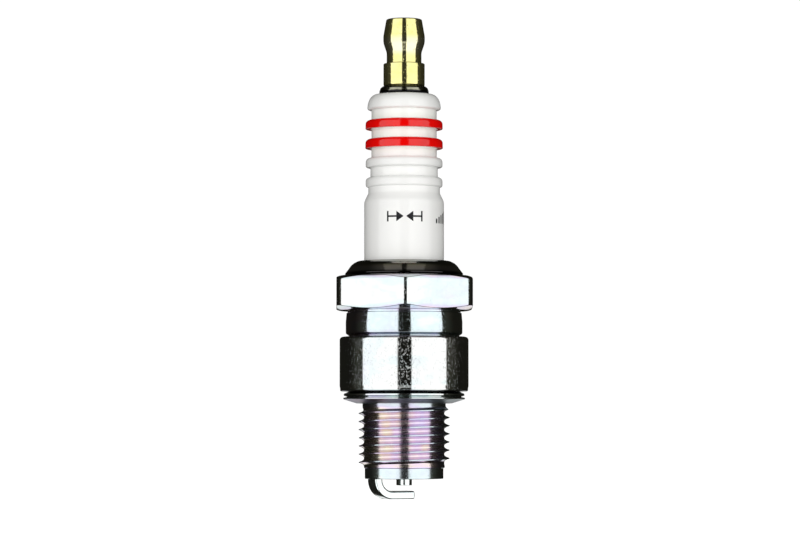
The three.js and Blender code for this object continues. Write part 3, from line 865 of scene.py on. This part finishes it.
def plated_steel(name, bands, dull_below, dullness):
    """Bright plating over turned steel, under a thin film whose rainbow hue wanders. The bands change it up
    the piece, and their tone paints shade. Below one height the plating is duller, and the hexagon's top
    has painted shade towards the lip."""
    made, tree, shader, place = material(name, Metallic=1.0)
    radius, height = radius_and_height(tree, place)
    low, high = bands[0][0], bands[-1][0]
    position = step(tree, height, low, high, smooth=False)
    # The fourth number is the tone, which paints shade into the gaps, the recesses and the crimped lip.
    levels, tone = ramp(tree, position, [((row[0] - low) / (high - low), row[1:]) for row in bands])
    level = add(tree, "ShaderNodeSeparateColor", {"Color": levels})
    hue_there, film, wear = (level.outputs[k] for k in range(3))

    rainbow = ramp(tree, film_hue(tree, place, radius, height, hue_there), FILM_RAINBOW)
    tint = mix(tree, film, (1.0, 1.0, 1.0), rainbow)
    plain = two_tone(tree, noise(tree, place, 900, 3.0), (0.69, 0.70, 0.70), (0.75, 0.76, 0.75))
    colour = mix(tree, 1.0, plain, tint, "MULTIPLY")
    # Painted shade: the hexagon's top face darkens towards the crimped lip, and the tone mixes the metal
    # towards a near black.
    inner_face = step(tree, radius, 10.75, 10.35)
    lip_painted_shade = maths(tree, "MULTIPLY", between(tree, height, 17.4, 17.9, 0.1), inner_face)
    tone = maths(tree, "MULTIPLY", tone, weighted(tree, 1.0, (lip_painted_shade, -0.8)))
    colour = mix(tree, tone, PAINTED_SHADE_STEEL, colour)

    nicks = speckles(tree, stretched(tree, place, (1, 1, 0.7)), 5200, 0.59, 0.68, 0.8)
    nicks = maths(tree, "MULTIPLY", nicks, wear)
    fine = noise(tree, place, 1500)
    dulled = step(tree, height, dull_below, dull_below - 0.05)
    rough = weighted(tree, 0.03, (fine, 0.07), (nicks, 0.06), (dulled, dullness))

    lathe = noise(tree, stretched(tree, place, (60, 60, 9000)), 1.0)
    surface(tree, shader, colour, rough, bump(tree, nicks, 0.0075, bump(tree, lathe, 0.0012)))
    return made


def brass():
    """Turned brass with lathe lines and small pits, and a painted highlight round the waist."""
    made, tree, shader, place = material("turned_brass", Metallic=0.97)
    patches = noise(tree, place, 600, 3.0, 0.6)
    colour = two_tone(tree, patches, (0.74, 0.69, 0.27), (0.84, 0.78, 0.36))
    # Painted highlight: the brass is mixed towards a pale yellow round the waist.
    waist = between(tree, radius_and_height(tree, place)[1], 51.9, 54.4, 0.5)
    colour = mix(tree, maths(tree, "MULTIPLY", waist, 0.8), colour, (0.84, 0.80, 0.56))
    lathe = noise(tree, stretched(tree, place, (40, 40, 12000)), 1.0)
    pits = speckles(tree, place, 3200, 0.62, 0.72)
    rough = weighted(tree, 0.03, (lathe, 0.10), (pits, 0.15))
    surface(tree, shader, colour, rough, bump(tree, pits, 0.008, bump(tree, lathe, 0.002)))
    return made


def dark_steel():
    """Dark plating with an olive cast, made nearly black round the flange's foot by painted shade."""
    made, tree, shader, place = material("dark_plated_steel", Metallic=1.0)
    height = radius_and_height(tree, place)[1]
    patches = noise(tree, place, 700, 3.0, 0.6)
    plating = two_tone(tree, patches, (0.27, 0.27, 0.20), (0.38, 0.37, 0.29))
    # Painted shade: below the flange's middle height the plating turns nearly black.
    foot_painted_shade = inverse(tree, step(tree, weighted(tree, height, (patches, 0.2)), 46.2, 46.4))
    colour = mix(tree, foot_painted_shade, plating, (0.02, 0.02, 0.022))
    grain = noise(tree, place, 2500, 3.0)
    surface(tree, shader, colour, weighted(tree, 0.08, (patches, 0.12)), bump(tree, grain, 0.003))
    return made


def glaze():
    """White glazed ceramic, with red glaze on the two ribs nearest the head."""
    made, tree, shader, place = material("glazed_ceramic", Specular_IOR_Level=0.5)
    radius, height = radius_and_height(tree, place)
    wander = maths(tree, "SUBTRACT", noise(tree, place, 350), 0.5)
    ragged = weighted(tree, height, (wander, 0.1))
    lower, upper = (between(tree, ragged, rib[0] - 0.02, rib[1] + 0.02, 0.02) for rib in RED_RIBS)
    ribs = maths(tree, "MULTIPLY", maths(tree, "ADD", upper, lower), step(tree, radius, 5.15, 5.25))
    white = two_tone(tree, noise(tree, place, 160, 3.0), (0.92, 0.92, 0.90), (0.95, 0.95, 0.93))
    # Painted tint against bounce light: the grooves by the red ribs turn green cream, which cancels the pink
    # light that the red glaze throws into them.
    groove_bounce_offset = inverse(tree, step(tree, radius, 5.05, 5.6))
    groove_bounce_offset = maths(tree, "MULTIPLY", groove_bounce_offset, between(tree, height, 36.6, 43.0, 1.0))
    white = mix(tree, groove_bounce_offset, white, (0.93, 0.98, 0.92))
    red = two_tone(tree, noise(tree, place, 500, 3.0), (0.80, 0.001, 0.001), (0.88, 0.003, 0.002))
    rough = weighted(tree, 0.07, (noise(tree, place, 800), 0.08))
    ripple = bump(tree, noise(tree, place, 420), 0.012)
    surface(tree, shader, mix(tree, ribs, white, red), rough, ripple)
    return made


def ink():
    """Black stoved ink, a little uneven."""
    made, tree, shader, place = material("black_ink", Specular_IOR_Level=0.2)
    patches = noise(tree, place, 2500, 3.0, 0.6)
    colour = two_tone(tree, patches, (0.008, 0.008, 0.010), (0.022, 0.022, 0.025))
    surface(tree, shader, colour, weighted(tree, 0.45, (patches, 0.2)), bump(tree, patches, 0.002))
    return made


def nickel():
    """Drawn nickel alloy, mottled and lightly grained."""
    made, tree, shader, place = material("drawn_nickel_alloy", Metallic=1.0)
    tone = noise(tree, place, 900, 3.0, 0.6)
    colour = two_tone(tree, tone, (0.70, 0.76, 0.76), (0.86, 0.90, 0.88))
    grain = noise(tree, place, 3000, 3.0, 0.6)
    surface(tree, shader, colour, weighted(tree, 0.10, (tone, 0.14)), bump(tree, grain, 0.004))
    return made


def grainy(name, first, second, roughness, scale, depth, metallic=0.0):
    """Material for the hidden pieces: two tones in a grain, with a matching bump."""
    made, tree, shader, place = material(name, Metallic=metallic)
    grain = noise(tree, place, scale, 4.0, 0.65)
    colour = two_tone(tree, grain, first, second)
    surface(tree, shader, colour, weighted(tree, roughness, (grain, 0.2)), bump(tree, grain, depth))
    return made


# ---------------------------------------------------------------- studio

def direction(azimuth, elevation):
    """Unit vector away from the plug, with the azimuth in degrees from -Y towards +X."""
    a, e = math.radians(azimuth), math.radians(elevation)
    return np.array([math.sin(a) * math.cos(e), -math.cos(a) * math.cos(e), math.sin(e)])


def aim_at(thing, towards):
    """Turn a light or camera to look along a direction, with its top up."""
    thing.rotation_mode = "QUATERNION"
    thing.rotation_quaternion = Vector(tuple(towards)).to_track_quat("-Z", "Y")


def studio_light(tree):
    """Strength of the studio's light in each direction: panels on both sides of the camera with a dark gap
    between them, dark flanks, and two pale patches at the back."""
    place = add(tree, "ShaderNodeTexCoord").outputs["Generated"]
    split = add(tree, "ShaderNodeSeparateXYZ", {"Vector": place})
    x, y, z = (split.outputs[k] for k in "XYZ")
    aside = maths(tree, "ABSOLUTE", x)
    ahead = maths(tree, "MULTIPLY", y, -1.0)
    azimuth = maths(tree, "DEGREES", maths(tree, "ARCTAN2", aside, ahead))
    elevation = maths(tree, "DEGREES", maths(tree, "ARCSINE", z))

    def tall(patch):
        """1 at the elevations that a patch covers."""
        return between(tree, elevation, patch["low"], patch["high"], patch["edge"])

    def at_the_back(patch):
        """Light of a patch that starts at an azimuth and runs on round the back."""
        lit = maths(tree, "MULTIPLY", step(tree, azimuth, *patch["start"]), tall(patch))
        return maths(tree, "MULTIPLY", lit, patch["strength"])

    in_front = inverse(tree, step(tree, azimuth, *PANEL_END))
    columns = maths(tree, "MULTIPLY", in_front, step(tree, azimuth, *PANEL_START))
    table = maths(tree, "MULTIPLY", in_front, tall(TABLE))
    columns = maths(tree, "MAXIMUM", columns, maths(tree, "MULTIPLY", table, TABLE["strength"]))
    low_glow = inverse(tree, step(tree, elevation, LOW_GLOW["full"], LOW_GLOW["none"]))
    panels = weighted(tree, PANELS["strength"], (low_glow, LOW_GLOW["strength"]))
    panels = maths(tree, "MULTIPLY", panels, tall(PANELS))
    for patch in (TOP_EDGE, OVERHEAD):
        panels = weighted(tree, panels, (tall(patch), patch["strength"]))
    panels = maths(tree, "MULTIPLY", panels, columns)
    backs = maths(tree, "ADD", at_the_back(LOW_BACK), at_the_back(HIGH_BACK))
    beside = maths(tree, "SUBTRACT", step(tree, azimuth, *PANEL_END), step(tree, azimuth, *SIDE_GLOW["end"]))
    spill = weighted(tree, ROOM_LIGHT, (beside, SIDE_GLOW["strength"]))
    return maths(tree, "ADD", maths(tree, "ADD", panels, backs), spill)


def studio_world():
    """World that lights the plug like a studio and shows the camera white paper. The dim parts are warm, and
    rough surfaces get a little less of it than mirrors do."""
    world = bpy.data.worlds.new("studio")
    bpy.context.scene.world = world
    world.use_nodes = True
    tree = world.node_tree
    tree.nodes.clear()
    light = studio_light(tree)
    colour = mix(tree, step(tree, light, 0.05, 0.5), (1.0, 0.98, 0.74), (1.0, 1.0, 1.0))
    rays = add(tree, "ShaderNodeLightPath").outputs
    share = weighted(tree, 1.0, (rays["Is Diffuse Ray"], -DIFFUSE_LOSS))
    strength = maths(tree, "MULTIPLY", light, share)
    studio = add(tree, "ShaderNodeBackground", {"Color": colour, "Strength": strength}).outputs[0]
    paper = add(tree, "ShaderNodeBackground", {"Color": (1.0, 1.0, 1.0, 1.0), "Strength": PAPER_WHITE})
    shown = add(tree, "ShaderNodeMixShader", {0: rays["Is Camera Ray"], 1: studio, 2: paper.outputs[0]})
    output = add(tree, "ShaderNodeOutputWorld")
    tree.links.new(shown.outputs[0], output.inputs["Surface"])


def soft_fill(name, azimuth):
    """Large area light that lifts the ceramic and isn't mirrored in the metal."""
    data = bpy.data.lights.new(name, "AREA")
    data.shape = "SQUARE"
    data.size = FILL["size"] * MM
    data.energy = FILL["power"]
    lamp = bpy.data.objects.new(name, data)
    away = direction(azimuth, FILL["elevation"])
    lamp.location = tuple((away * FILL["distance"] + np.array([0, 0, FILL["aim"]])) * MM)
    aim_at(lamp, -away)
    lamp.visible_camera = False
    lamp.visible_glossy = False
    bpy.context.scene.collection.objects.link(lamp)


def studio_floor():
    """Pale floor just under the plug, bright enough to run into the background, and seen by the camera
    only."""
    reach = FLOOR["reach"]
    corners = [(-reach, -reach), (reach, -reach), (reach, reach), (-reach, reach)]
    mesh = bpy.data.meshes.new("floor")
    mesh.from_pydata([(x * MM, y * MM, FLOOR["height"] * MM) for x, y in corners], [], [(0, 1, 2, 3)])
    floor = bpy.data.objects.new("floor", mesh)
    bpy.context.scene.collection.objects.link(floor)
    made, tree, shader, place = material("pale_floor", Roughness=0.9)
    colour = two_tone(tree, noise(tree, place, 400), (0.90, 0.90, 0.90), (0.93, 0.93, 0.93))
    tree.links.new(colour, shader.inputs["Base Color"])
    shader.inputs["Emission Color"].default_value = (1.0, 1.0, 1.0, 1.0)
    shader.inputs["Emission Strength"].default_value = FLOOR["glow"]
    mesh.materials.append(made)
    floor.visible_glossy = False
    floor.visible_diffuse = False
    floor.visible_shadow = False
    floor.visible_transmission = False


def photo_camera():
    """Camera at the photograph's viewing angle."""
    data = bpy.data.cameras.new("camera")
    data.lens = CAMERA_LENS
    data.sensor_width = 36.0
    data.clip_start, data.clip_end = 0.01, 20.0
    camera = bpy.data.objects.new("camera", data)
    back = direction(CAMERA_AZIMUTH, CAMERA_ELEVATION)
    camera.location = tuple((np.array(CAMERA_TARGET) + back * CAMERA_DISTANCE) * MM)
    aim_at(camera, -back)
    bpy.context.scene.collection.objects.link(camera)
    bpy.context.scene.camera = camera


# ---------------------------------------------------------------- assembly

def give_finish(mesh, finish):
    """Make a material the mesh's only one."""
    mesh.materials.clear()
    mesh.materials.append(finish)


def place_piece(piece, body, finish):
    """Give a piece its material and the body that it rides on."""
    give_finish(piece.data, finish)
    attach(piece, body)


bpy.context.scene.view_settings.view_transform = "Standard"
photo_camera()
studio_world()
soft_fill("fill_left", -FILL["azimuth"])
soft_fill("fill_right", FILL["azimuth"])
studio_floor()

shell_finish = plated_steel("plated_steel_shell", SHELL_BANDS, dull_below=0.0, dullness=0.1)
gasket_finish = plated_steel("plated_steel_gasket", GASKET_BANDS, dull_below=-1.2, dullness=0.35)
nickel_finish = nickel()

place_piece(shell_piece(), "plug_body", shell_finish)
place_piece(insulator_piece(), "plug_body", glaze())
place_piece(printed_piece(), "plug_body", ink())
place_piece(nut_piece(), "nut", brass())
place_piece(stud_piece(), "plug_body", dark_steel())
place_piece(gasket_piece(), "gasket_ring", gasket_finish)
place_piece(electrode_piece(), "plug_body", nickel_finish)
place_piece(strap_piece(), "plug_body", nickel_finish)

seal_glass = grainy("fused_seal_glass", (0.30, 0.21, 0.16), (0.45, 0.35, 0.29), 0.3, 1500, 0.03)
bare_steel = grainy("bare_soft_steel", (0.45, 0.46, 0.47), (0.62, 0.63, 0.64), 0.25, 2200, 0.006, 1.0)
hidden = {
    "upper_glass_seal": seal_glass,
    "lower_glass_seal": seal_glass,
    "resistor": grainy("fired_resistor_mass", (0.10, 0.10, 0.11), (0.26, 0.26, 0.27), 0.6, 1800, 0.04),
    "center_electrode_core": grainy("copper", (0.68, 0.38, 0.22), (0.80, 0.52, 0.36), 0.2, 1600, 0.004, 1.0),
    "seat_packing_ring": bare_steel,
    "lower_line_ring": bare_steel,
    "upper_line_ring": bare_steel,
    "talc_ring": grainy("pressed_talc", (0.78, 0.75, 0.69), (0.88, 0.86, 0.82), 0.75, 2600, 0.05),
}
for node, finish in hidden.items():
    give_finish(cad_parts[node].data, finish)
